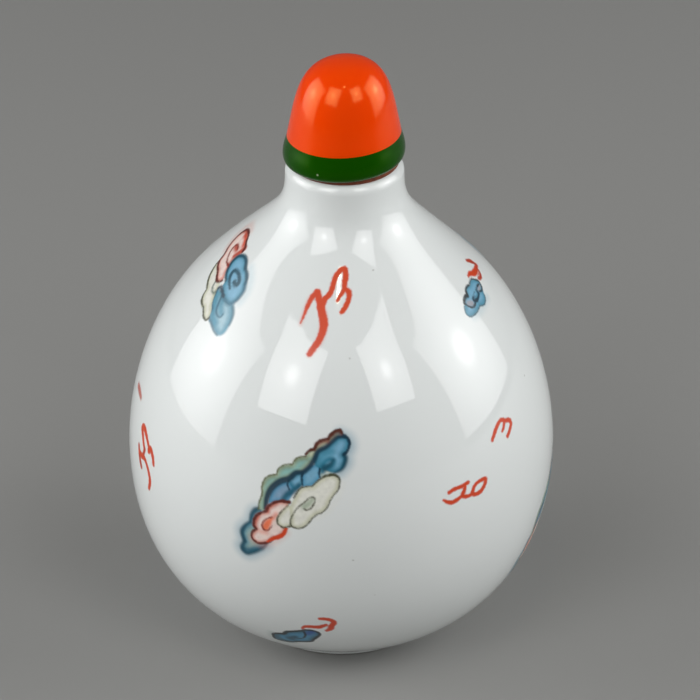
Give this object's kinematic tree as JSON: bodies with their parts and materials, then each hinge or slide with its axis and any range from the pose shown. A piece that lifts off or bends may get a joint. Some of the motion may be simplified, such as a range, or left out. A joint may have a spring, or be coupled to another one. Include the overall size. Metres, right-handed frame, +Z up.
{
  "type": "snuff bottle",
  "caption": "Hollow egg-shaped porcelain snuff bottle, painted with clouds and flame wisps, with a short neck and a lift-out domed stopper on a cork.",
  "frame": {"origin": "on the bottle's axis, at the surface that its foot ring stands on", "axes": "+Z up along the bottle's axis, -Y to the front, +X to the right as seen from the front"},
  "size_m": [0.048, 0.048, 0.0699],
  "materials": {
    "porcelain": "glossy clear glaze over cool white porcelain, with painted enamels",
    "coral": "polished opaque orange coral glass",
    "green": "polished opaque green glass",
    "cork": "rust brown cork, matt"
  },
  "bodies": {
    "root": {"porcelain_bottle": "porcelain", "stopper_cork": "cork", "stopper_collar": "green", "stopper_cap": "coral"}
  },
  "joints": []
}
